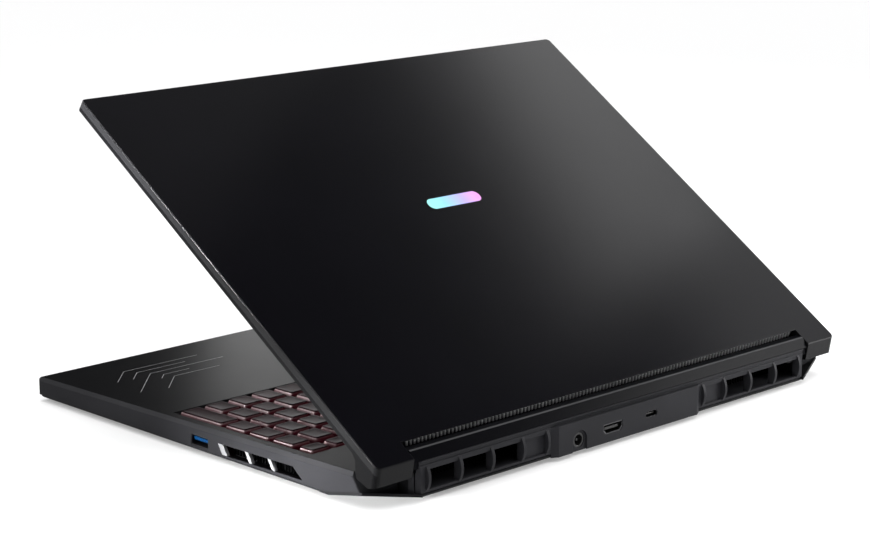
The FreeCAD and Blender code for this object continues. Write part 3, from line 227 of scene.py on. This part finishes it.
square = [(x * FLOOR_REACH, y * FLOOR_REACH) for x, y in ((-1, -1), (1, -1), (1, 1), (-1, 1))]
paper("floor", [(x, y, 0) for x, y in square], [(0, 1, 2, 3)], FLOOR_GLOW)
walls = [(x, y, z) for z in (0, BACKDROP_HEIGHT) for x, y in square]
paper("backdrop", walls, [(0, 1, 5, 4), (1, 2, 6, 5), (2, 3, 7, 6), (3, 0, 4, 7)], BACKDROP_GLOW)
print("paper", FLOOR_REACH * 2, "m wide")

# %% [markdown]
# ## Lamps
# Most of what is seen on a black object is reflection, so a lamp's place matters more than its power. One
# wide overhead sun and a dim sky give the plain level. Soft rectangles then draw the shapes: a long one
# whose mirror image lies along the lid's far side, a low one for the rear housing, and small narrow ones
# that pick out the side wall and the lid's edge.

# %% Sky and lamps
SKY_COLOUR = (0.08, 0.08, 0.0832, 1)
SUN_POWER = 3.05
SUN_WIDTH = math.radians(75)
SUN_TILT = (math.radians(-8), math.radians(10), 0)

sky = bpy.data.worlds.new("sky")
sky.use_nodes = True
scene.world = sky
sky.node_tree.nodes["Background"].inputs["Color"].default_value = SKY_COLOUR


def lamp(name, place, aim, size, power, spread=180):
    """A soft rectangular lamp turned to an aim point; size is its width and height, spread its cone."""
    light = bpy.data.lights.new(name, "AREA")
    light.shape = "RECTANGLE"
    light.size, light.size_y = size
    light.energy = power
    light.spread = math.radians(spread)
    holder = bpy.data.objects.new(name, light)
    holder.location = place
    holder.rotation_euler = (Vector(aim) - Vector(place)).to_track_quat("-Z", "Y").to_euler()
    holder.visible_camera = False
    scene.collection.objects.link(holder)


# Name, place, aim, width and height, power in watts, cone in degrees
lamp("lamp_wall", (0.56, -0.10, 0.045), (0.18, 0.095, 0.012), (0.06, 0.04), 0.29, 30)
lamp("lamp_edge", (0.55, -0.18, 0.22), (0.18, -0.06, 0.155), (0.06, 0.06), 0.85, 34)
lamp("lamp_side", (0.52, -0.16, 0.30), (0.14, 0, 0.03), (0.2, 0.2), 0.6)
lamp("lamp_rear", (-0.40, 0.36, 0.12), (-0.1, 0.138, 0.02), (0.2, 0.2), 1.9)
lamp("lamp_sheen", (-0.78, -0.27, 0.73), (-0.15, -0.07, 0.21), (0.62, 0.16), 1.6)
lamp("lamp_glint", (-0.80, 0.12, 0.55), (-0.15, 0.1, 0.06), (0.26, 0.16), 0.29)
lamp("lamp_front", (-0.2, -0.45, 0.8), (0.1, 0, 0.1), (0.8, 0.5), 0.6)
lamp("lamp_low", (-0.30, -0.48, 0.13), (0.08, -0.06, 0.015), (0.14, 0.12), 0.36)
sun = bpy.data.lights.new("lamp_top", "SUN")
sun.energy = SUN_POWER
sun.angle = SUN_WIDTH
overhead = bpy.data.objects.new("lamp_top", sun)
overhead.rotation_euler = SUN_TILT
scene.collection.objects.link(overhead)
print("lamps", len(bpy.data.lights))


# %% [markdown]
# ## Which way a face looks
# The lid's broad face is nearly black, while its narrow sides are coloured a shade greyer as a painted
# highlight, and the lowest band of the sides is dark again. The case's upper side band and the bar's
# chamfer get painted highlights the same way. The sides could be painted face by face, but the finish
# can tell them apart by itself: a dot product says how far a face looks along a direction, or how far a
# point lies along it.

# %% Directions and rims
SPLIT_BLUR = 0.2 * MM
NOT_SIDEWAYS = (0.6, 0.5)
EDGE_TURN = (0.985, 0.9)


def along(tree, kind, direction):
    """How far a coordinate reaches along a direction."""
    node = add(tree, "VectorMath", Vector=add(tree, "TexCoord").outputs[kind])
    node.operation = "DOT_PRODUCT"
    node.inputs[1].default_value = direction
    return node.outputs["Value"]


def step(tree, value, low, high):
    """0 on low's side, 1 on high's side, and a straight run between."""
    return add(tree, "MapRange", Value=value, From_Min=low, From_Max=high).outputs["Result"]


def mix_tone(tree, share, one, two):
    """Two colours mixed by a share."""
    return add(tree, "MixRGB", Fac=share, Color1=one, Color2=two).outputs["Color"]


def rimmed(tree, tone, clouded, rim, within):
    """Keeps a tone on faces that look one way and gives the rest rim colours: low on the sides below a split,
    high elsewhere."""
    facing, split, low_colour, high_colour = rim
    flat_share = step(tree, along(tree, "Normal", facing), *within)
    sideways = work_out(tree, "ABSOLUTE", along(tree, "Normal", (1, 0, 0)))
    above_split = step(tree, along(tree, "Object", facing), split, split + SPLIT_BLUR)
    high_share = work_out(tree, "MAXIMUM", above_split, step(tree, sideways, *NOT_SIDEWAYS))
    rim_tone = mix_tone(tree, high_share, clouded(low_colour), clouded(high_colour))
    return mix_tone(tree, flat_share, rim_tone, tone)


def edge_highlighted(tree, tone, rounded, edge_highlight):
    """A tone painted paler where a softened edge turns away from its faces: a painted edge highlight."""
    flatness = add(tree, "VectorMath", Vector=add(tree, "NewGeometry").outputs["Normal"])
    flatness.operation = "DOT_PRODUCT"
    tree.links.new(rounded, flatness.inputs[1])
    return mix_tone(tree, step(tree, flatness.outputs["Value"], *EDGE_TURN), tone, (*edge_highlight, 1))


print("rims ready")


# %% [markdown]
# ## Moulded plastic
# A laptop's shells are moulded and sprayed. Close up they have a fine grain, slow patches in their gloss
# where hands have been, and edges that are never knife sharp. The grain is a bump, the patches vary colour
# and roughness a little, and the Bevel node rounds the light over each edge without more geometry.

# %% Moulded plastic finish
COLOUR_PATCH = 45 * MM
PATCH_DARK, PATCH_PALE = 0.86, 1.14


def plastic(name, colour, roughness, specular=0.4, grain=0.35 * MM, depth=0.01 * MM, edge=0.4 * MM,
            rim=None, within=(0.85, 0.95), edge_highlight=None):
    """Moulded plastic with a fine grain and softened edges; rim colours the faces turned from the broad one,
    and the last argument is a paler colour painted along the edges, a painted edge highlight."""
    finish, tree, shader = new_finish(name)
    patch = noise(tree, COLOUR_PATCH, 4.0)

    def clouded(middle):
        return cloudy(tree, patch, shade(middle, PATCH_DARK), shade(middle, PATCH_PALE))

    tone = clouded(colour)
    if rim:
        tone = rimmed(tree, tone, clouded, rim, within)
    rounded = add(tree, "Bevel", Radius=edge).outputs["Normal"]
    # Painted edge highlight, where one is given.
    if edge_highlight:
        tone = edge_highlighted(tree, tone, rounded, edge_highlight)
    surface(tree, shader, tone, wander(roughness, 0.02), grain, depth, rounded)
    shader.inputs["Specular IOR Level"].default_value = specular
    return finish


def dress(finish, *names):
    """Gives CAD nodes a finish."""
    for name in names:
        mesh = nodes[name].data
        mesh.materials.clear()
        mesh.materials.append(finish)


print("plastic ready")

# %% [markdown]
# ## Shells
# The lid, the case, the bottom, the rear housing and the bar between the hinges are the largest surfaces,
# and all are nearly black. What tells them apart is gloss: the lid is satin, the case is duller, and the
# bar's narrow chamfer is coloured pale grey, a painted highlight. The colours are low so that the
# reflections of the lamps do the drawing.

# %% Shells
LID_FACING = (0, 0.554, 0.833)
LID_SPLIT = 92 * MM
DECK_FACING = (0, -0.0168, 0.9999)
CASE_SPLIT = 14 * MM
BAR_CHAMFER = (0, 0.62, 0.785)
BELOW_ALL = -1

# Painted highlight: the lid's narrow sides are coloured paler than its face, except their lowest band.
lid_rim_highlight = (LID_FACING, LID_SPLIT, (0.0015, 0.0015, 0.0018), (0.0068, 0.0068, 0.0074))
# Painted highlight: a paler colour along the lid's softened edges.
lid_edge_highlight = (0.008, 0.008, 0.0086)
lid_black = plastic("lid_black", (0.0015, 0.0014, 0.0025), roughness=0.205, specular=0.07, rim=lid_rim_highlight,
                    edge_highlight=lid_edge_highlight)
dress(lid_black, "lid_cover")
# Painted highlight: above the split the case's side walls are coloured a paler grey than below it.
case_rim = (DECK_FACING, CASE_SPLIT, (0.020, 0.020, 0.022), (0.028, 0.028, 0.030))
dress(plastic("case_grey", (0.0035, 0.0035, 0.004), roughness=0.36, specular=0.010, rim=case_rim), "top_case")
dress(plastic("cover_black", (0.008, 0.008, 0.009), roughness=0.5, specular=0.05), "bottom_cover")
dress(plastic("housing_grey", (0.019, 0.019, 0.0215), roughness=0.45, specular=0.06), "rear_housing")
# Painted highlight: the bar's chamfer facet keeps the pale base colour, and its other faces get this tone.
bar_tone = (0.0018, 0.0018, 0.0026)
bar_chamfer_highlight = (BAR_CHAMFER, BELOW_ALL, bar_tone, bar_tone)
bar_black = plastic("bar_black", (0.05, 0.05, 0.052), roughness=0.28, specular=0.02, edge=0.1 * MM,
                    rim=bar_chamfer_highlight, within=(0.975, 0.99))
dress(bar_black, "hinge_cover")
bezel_black = plastic("bezel_black", (0.012, 0.012, 0.013), roughness=0.6, specular=0.3, grain=0.6 * MM,
                      depth=0.02 * MM)
dress(bezel_black, "lid_bezel")
print("shells dressed")

# %% [markdown]
# ## Frames of the deck and the lid
# The deck leans by about a degree and the lid by about a third of a right angle. Pieces are easier to build
# level, so two matrices carry level pieces on to the deck and into the lid. Both directions are read from
# the frame: the way the keys travel, and the broad face of the screen.

# %% Deck and lid frames
deck_up = -Vector(joints["space_bar_press"]["axis"]).normalized()
deck_frame = Vector((0, 0, 1)).rotation_difference(deck_up).to_matrix().to_4x4()
screen_face = max(nodes["display_panel"].data.polygons, key=lambda face: face.area * (face.normal.z > 0))
lid_turn = Vector((0, 0, 1)).rotation_difference(screen_face.normal).to_matrix().to_4x4()
lid_frame = Matrix.Translation(joints["lid_hinge"]["pos_m"]) @ lid_turn
print("deck leans", round(math.degrees(deck_up.angle((0, 0, 1))), 2))
print("lid leans", round(math.degrees(lid_turn.to_euler().x), 2))


# %% [markdown]
# ## Reading solids and placing pieces
# New pieces take their places from the frame's own solids, so nothing is measured twice. One helper reads
# the corners of a node, one splits a node into its separate solids by walking from point to point, and one
# turns a finished bmesh into a piece that moves with its body.

# %% Reading and placing
def extent(points):
    """Lowest and highest corner of some points."""
    low = Vector([min(p[axis] for p in points) for axis in range(3)])
    high = Vector([max(p[axis] for p in points) for axis in range(3)])
    return low, high


def level_extent(name, matrix):
    """A node's corners in a level frame."""
    undo = matrix.inverted()
    return extent([undo @ v.co for v in nodes[name].data.vertices])


def islands(name, matrix):
    """Points of each separate solid in a node, in a level frame and in the same order each time."""
    undo = matrix.inverted()
    work = bmesh.new()
    work.from_mesh(nodes[name].data)
    bmesh.ops.remove_doubles(work, verts=work.verts, dist=0.001 * MM)
    left = set(work.verts)
    found = []
    for start in work.verts:
        if start not in left:
            continue
        left.remove(start)
        group = [start]
        for vertex in group:
            for edge in vertex.link_edges:
                other = edge.other_vert(vertex)
                if other in left:
                    left.remove(other)
                    group.append(other)
        found.append([undo @ v.co for v in group])
    work.free()
    return found


def piece(name, work, matrix, finishes, body, angle=35):
    """Turns a bmesh into a piece that rides on a body; edges sharper than the angle stay sharp."""
    bmesh.ops.recalc_face_normals(work, faces=work.faces)
    mesh = bpy.data.meshes.new(name)
    work.to_mesh(mesh)
    work.free()
    mesh.transform(matrix)
    for finish in finishes:
        mesh.materials.append(finish)
    mesh.shade_smooth()
    mesh.set_sharp_from_angle(angle=math.radians(angle))
    thing = bpy.data.objects.new(name, mesh)
    scene.collection.objects.link(thing)
    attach(thing, body)
    return thing


print("piece helpers ready")

# %% [markdown]
# ## Key finishes
# A key is a clear cap that is painted dark on top, so that light leaks out of its skirt. The paint is a
# dark, dull red-black. The skirt's lower part is coloured darker than its top band, a painted shade. The
# skirt and the tray below it glow faintly red by themselves; real lamps under every key would look the
# same and take far longer to render.

# %% Key finishes
RED_GLOW = (0.75, 0.02, 0.09)

key_top, tree, shader = new_finish("key_top")
tone = cloudy(tree, noise(tree, 12 * MM, 4.0), (0.009, 0.0036, 0.0047), (0.014, 0.006, 0.0076))
surface(tree, shader, tone, gloss=(0.3, 0.4), grain=0.3 * MM, depth=0.01 * MM)
shader.inputs["Specular IOR Level"].default_value = 0.005


def lit_plastic(name, dark, pale, roughness, strength):
    """Clear or tinted plastic with a faint red light inside."""
    finish, tree, shader = new_finish(name)
    tone = cloudy(tree, noise(tree, 2 * MM), dark, pale)
    surface(tree, shader, tone, wander(roughness, 0.1), grain=0.4 * MM, depth=0.01 * MM)
    shader.inputs["Emission Color"].default_value = (*RED_GLOW, 1)
    shader.inputs["Emission Strength"].default_value = strength
    return finish


key_skirt = lit_plastic("key_skirt", dark=(0.11, 0.082, 0.085), pale=(0.17, 0.13, 0.133), roughness=0.35,
                        strength=0.02)
# Painted shade: the lower part of each skirt is coloured darker than its pale top band.
key_foot_painted_shade = lit_plastic("key_foot_painted_shade", dark=(0.025, 0.008, 0.011), pale=(0.040, 0.013, 0.017), roughness=0.5,
                       strength=0.02)
tray_dark = lit_plastic("tray_dark", dark=(0.004, 0.002, 0.0025), pale=(0.007, 0.003, 0.004), roughness=0.6,
                        strength=0.012)
dress(tray_dark, "keyboard_plate", "switch_membrane")
print("key finishes ready")


# %% [markdown]
# ## Shape of a key cap
# A cap is a stack of rounded outlines: the skirt leans in, the rim is rolled over, and the top sinks a
# little in the middle for the finger. A bevelled and sculpted cube would do for one key, but a stack of
# rings fits every width of key without stretching the corners.

# %% Shape of a key cap
KEY_CORNER = 1.2 * MM
CORNER_STEPS = 4
# Insets from the key's foot and drops from its top, in metres
SKIRT_MIDDLE = (0.2 * MM, 1.2 * MM)
SKIRT_TOP = (0.45 * MM, 0.45 * MM)
# The same in millimetres, from the skirt's top edge to the hollow of the cap
CAP_RINGS = ((0.55, 0.32), (0.62, 0.14), (0.85, 0.02), (1.15, 0.0), (2.4, 0.13), (4.0, 0.2))
# Slots of a cap: painted top, pale skirt band, and the skirt's lower part, coloured darker as painted shade
TOP_PAINT, SKIRT_CLEAR, FOOT_PAINTED_SHADE = 0, 1, 2


def rounded_ring(work, low, high, inset, height):
    """A ring of points round a rectangle with rounded corners."""
    x0, x1 = low.x + inset, high.x - inset
    y0, y1 = low.y + inset, high.y - inset
    r = min(KEY_CORNER, (x1 - x0) * 0.45, (y1 - y0) * 0.45)
    middles = ((x1 - r, y1 - r), (x0 + r, y1 - r), (x0 + r, y0 + r), (x1 - r, y0 + r))
    ring = []
    for quarter, (cx, cy) in enumerate(middles):
        for part in range(CORNER_STEPS + 1):
            turn = math.pi / 2 * (quarter + part / CORNER_STEPS)
            ring.append(work.verts.new((cx + r * math.cos(turn), cy + r * math.sin(turn), height)))
    return ring


def bridge(work, lower, upper, index):
    """Faces between two rings of equal count."""
    for k in range(len(lower)):
        face = work.faces.new((lower[k - 1], lower[k], upper[k], upper[k - 1]))
        face.material_index = index


def key_cap(work, low, high):
    """One dished cap with its skirt, in the level deck frame."""
    ring = rounded_ring(work, low, high, 0.0, low.z)
    work.faces.new(list(reversed(ring)))
    stack = [(*SKIRT_MIDDLE, FOOT_PAINTED_SHADE), (*SKIRT_TOP, SKIRT_CLEAR)]
    stack += [(inset * MM, drop * MM, TOP_PAINT) for inset, drop in CAP_RINGS]
    for inset, drop, index in stack:
        upper = rounded_ring(work, low, high, inset, high.z - drop)
        bridge(work, ring, upper, index)
        ring = upper
    work.faces.new(ring)


print("rings in a cap", len(CAP_RINGS) + 3)

# %% [markdown]
# ## Caps on the keyboard
# The outlines are read from the frame's own keys, one cap for each, so nothing has to be placed. Keys that
# press together share one piece, which stands for their plain solids and rides on their body.

# %% Caps on the keyboard
CAP_REACH = 2.02 * MM

key_nodes = [name for name in nodes if name.endswith(("_key", "_keys")) or name == "space_bar"]
caps = 0
for name in key_nodes:
    work = bmesh.new()
    for points in islands(name, deck_frame):
        top = max(p.z for p in points)
        low, high = extent([p for p in points if p.z > top - CAP_REACH])
        key_cap(work, low, high)
        caps += 1
    cap = piece(name + "_caps", work, deck_frame, (key_top, key_skirt, key_foot_painted_shade), name)
    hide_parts(name)
print("key caps", caps)

# %% [markdown]
# ## Knurled strip
# A strip along the lid's rear edge is cut with slanting teeth. The teeth are coloured pale grey on a dark
# backing, a painted glint for the light they catch as a row of small sparks. It could be a bump, but the
# teeth stand in profile at the strip's ends, so they are real: a thin backing and a row of slanted ridges
# with narrow tops.

# %% Knurled strip
TOOTH_PITCH = 2.6 * MM
TOOTH_FOOT = 0.95 * MM
TOOTH_TOP = 0.4 * MM
TOOTH_SLANT = 1.1 * MM
TOOTH_MARGIN = 0.3 * MM
BACKING_SHARE = 0.4
BOX_FACES = ((0, 1, 3, 2), (4, 6, 7, 5), (0, 4, 5, 1), (2, 3, 7, 6), (0, 2, 6, 4), (1, 5, 7, 3))

strip_low, strip_high = level_extent("lid_edge_trim", lid_frame)
tooth_y = strip_low.y + (strip_high.y - strip_low.y) * BACKING_SHARE
work = bmesh.new()
for corner in bmesh.ops.create_cube(work, size=1)["verts"]:
    corner.co = Vector(((strip_low.x, strip_high.x)[corner.co.x > 0], (strip_low.y, tooth_y)[corner.co.y > 0],
                        (strip_low.z, strip_high.z)[corner.co.z > 0]))
for face in work.faces:
    face.material_index = 1
reach = TOOTH_FOOT + TOOTH_SLANT
teeth = int((strip_high.x - strip_low.x - 2 * reach) / TOOTH_PITCH) + 1
slants = ((strip_low.z + TOOTH_MARGIN, -TOOTH_SLANT), (strip_high.z - TOOTH_MARGIN, TOOTH_SLANT))
for tooth in range(teeth):
    x = strip_low.x + reach + tooth * TOOTH_PITCH
    corners = []
    for z, slant in slants:
        for half, y in ((TOOTH_FOOT, tooth_y), (TOOTH_TOP, strip_high.y)):
            corners += [work.verts.new((x + slant + side * half, y, z)) for side in (-1, 1)]
    for picks in BOX_FACES:
        work.faces.new([corners[k] for k in picks])
# Painted glint: the teeth are coloured pale grey, far paler than the lid's other plastics.
strip_glint_grey = plastic("strip_glint_grey", (0.22, 0.22, 0.225), roughness=0.35, specular=0.3, edge=0.1 * MM)
strip_dark = plastic("strip_dark", (0.006, 0.006, 0.007), roughness=0.5, specular=0.1)
strip = piece("knurled_strip", work, lid_frame, (strip_glint_grey, strip_dark), "lid", angle=20)
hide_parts("lid_edge_trim")
print("teeth", teeth)

# %% [markdown]
# ## Printed lines on the palm rest
# Thin pale lines are printed on the deck beside the touchpad. This set is a plain one: nested lines that
# run along the front, turn a corner and stop at different lengths. Paint has a thickness, so each line is a
# flat strip laid on the deck, a few hundredths of a millimetre high.

# %% Printed lines
LINE_WIDTH = 0.35 * MM
LINE_HEIGHT = 0.03 * MM
# Start, corner and end of each line, in millimetres from the deck's front right corner
PRINT_LINES = (
    ((-92, 26), (-40, 26), (-24, 42)),
    ((-78, 33), (-44, 33), (-34, 43)),
    ((-100, 40), (-48, 40), (-20, 68)),
    ((-70, 47), (-52, 47), (-46, 53)),
    ((-86, 54), (-54, 54), (-36, 72)),
)

deck_low, deck_high = level_extent("top_case", deck_frame)
deck_corner = Vector((deck_high.x, deck_low.y))
work = bmesh.new()


def printed_line(work, points):
    """A flat strip along some points in the deck's plane, mitred at its corners."""
    rows = []
    for k, here in enumerate(points):
        before = (here - points[k - 1]).normalized() if k else None
        after = (points[k + 1] - here).normalized() if k + 1 < len(points) else None
        heading = ((before or after) + (after or before)).normalized()
        across = Vector((-heading.y, heading.x)) * LINE_WIDTH / 2
        across /= across.normalized().dot(Vector((-(after or before).y, (after or before).x)))
        rows.append([work.verts.new((*(here + across * side), deck_high.z + lift))
                     for side, lift in ((1, 0), (-1, 0), (-1, LINE_HEIGHT), (1, LINE_HEIGHT))])
    for one, two in zip(rows, rows[1:]):
        for k in range(4):
            work.faces.new((one[k - 1], one[k], two[k], two[k - 1]))
    work.faces.new(rows[0])
    work.faces.new(rows[-1])


for line in PRINT_LINES:
    printed_line(work, [deck_corner + Vector(point) * MM for point in line])
print_pale = plastic("print_pale", (0.30, 0.30, 0.31), roughness=0.5, specular=0.3)
piece("palm_print", work, deck_frame, (print_pale,), "base")
print("printed lines", len(PRINT_LINES))

# %% [markdown]
# ## Metal
# Port shells, screws, hinge plates, heat pipes and cooling fins are metal: streaked along the direction
# they were drawn, and bright only where polished. The streaks are noise stretched along one axis, which
# costs nothing and follows any shape.

# %% Metal parts
STREAK_SCALE = 400
STREAK_STRETCH = (1, 1, 14)


def metal(name, colour, roughness):
    """Drawn metal with fine streaks."""
    finish, tree, shader = new_finish(name)
    place = add(tree, "TexCoord").outputs["Object"]
    drawn = add(tree, "Mapping", Vector=place, Scale=STREAK_STRETCH).outputs["Vector"]
    streak = add(tree, "TexNoise", Vector=drawn, Scale=STREAK_SCALE, Detail=3.0).outputs["Fac"]
    tone = cloudy(tree, streak, shade(colour, 0.82), colour)
    rounded = add(tree, "Bevel", Radius=0.1 * MM).outputs["Normal"]
    surface(tree, shader, tone, wander(roughness, 0.2), grain=0.2 * MM, depth=0.004 * MM, rounded=rounded)
    shader.inputs["Metallic"].default_value = 1.0
    return finish


dress(metal("port_steel", (0.10, 0.10, 0.105), roughness=0.35), "usb_a_ports", "hdmi_port", "usb_c_port")
dress(metal("plain_steel", (0.5, 0.5, 0.51), roughness=0.35),
      "bottom_screws", "hinge_screws", "hinge_brackets", "lid_hinge_arms")
dress(metal("pin_dark", (0.06, 0.06, 0.062), roughness=0.4), "dc_jack_pin")
# Painted shade: the aluminium fins are coloured near black, for the dark inside of the vents.
dress(metal("fin_painted_shade", (0.006, 0.006, 0.0065), roughness=0.5), "fin_stacks")
dress(metal("pipe_copper", (0.72, 0.36, 0.22), roughness=0.3), "heat_pipes")
print("metal dressed")

# %% [markdown]
# ## Rubber and small mouldings
# The feet and the lid's gasket are rubber, nearly black and rough. The other small parts are plastic again:
# the side vent's ribs are sprayed silver, the tongue of a fast port is blue by custom, and boards are green
# under their varnish. The same plastic finish serves all of them with other colours and gloss.

# %% Rubber and small mouldings
dress(plastic("rib_silver", (0.18, 0.18, 0.185), roughness=0.4, specular=0.5), "side_vent_ribs")
dress(plastic("foot_rubber", (0.012, 0.012, 0.012), roughness=0.8, specular=0.2, grain=0.8 * MM),
      "rubber_feet", "lid_gasket")
dress(plastic("port_black", (0.012, 0.012, 0.012), roughness=0.35, specular=0.4),
      "port_tongues", "dc_jack", "audio_jack", "webcam_module", "speakers")
dress(plastic("usb_blue", (0.0005, 0.030, 0.095), roughness=0.4, specular=0.04), "usb_a_tongues")
dress(plastic("board_green", (0.01, 0.06, 0.035), roughness=0.4, specular=0.5),
      "motherboard", "memory_modules", "ssd_module", "wifi_card")
dress(plastic("chip_black", (0.02, 0.02, 0.02), roughness=0.5, specular=0.4),
      "processor_chips", "battery_pack")
dress(plastic("fan_black", (0.016, 0.016, 0.016), roughness=0.5, specular=0.4),
      "fan_housings", "right_fan_rotor", "left_fan_rotor")
dress(plastic("pad_satin", (0.010, 0.010, 0.0112), roughness=0.3, specular=0.15, edge=0.3 * MM), "touchpad")
dress(plastic("tray_black", (0.014, 0.014, 0.014), roughness=0.6, specular=0.3), "touchpad_bracket")
print("small parts dressed")

# %% [markdown]
# ## Screen and inlay
# The screen is dark glass with an anti-glare surface. The lid's inlay is a pearly plate whose colour runs
# from blue-green to pink along its length; on the real thing a thin film does that, and here a gradient in
# the plate's own colour gives the same band from every side. The plate also glows faintly in that colour,
# a painted glow, though it holds no lamp.

# %% Screen glass and pearly inlay
PEARL_STOPS = ((0.0, (0.75, 0.28, 0.72)), (0.35, (0.42, 0.36, 0.85)), (0.7, (0.25, 0.6, 0.8)),
               (1.0, (0.3, 0.8, 0.72)))

glass, tree, shader = new_finish("screen_glass")
tone = cloudy(tree, noise(tree, 0.4 * MM), (0.004, 0.004, 0.005), (0.007, 0.007, 0.009))
surface(tree, shader, tone, gloss=(0.16, 0.24), grain=0.3 * MM, depth=0.002 * MM)
dress(glass, "display_panel")

pearl, tree, shader = new_finish("inlay_pearl")
place = add(tree, "SeparateXYZ", Vector=add(tree, "TexCoord").outputs["Generated"]).outputs["X"]
tone = ramp(tree, place, *PEARL_STOPS)
surface(tree, shader, tone, gloss=(0.2, 0.3), grain=0.6 * MM, depth=0.004 * MM)
# Painted glow: the inlay gives off its own colour faintly.
tree.links.new(tone, shader.inputs["Emission Color"])
shader.inputs["Emission Strength"].default_value = 0.12
dress(pearl, "lid_emblem")
print("screen and inlay dressed")
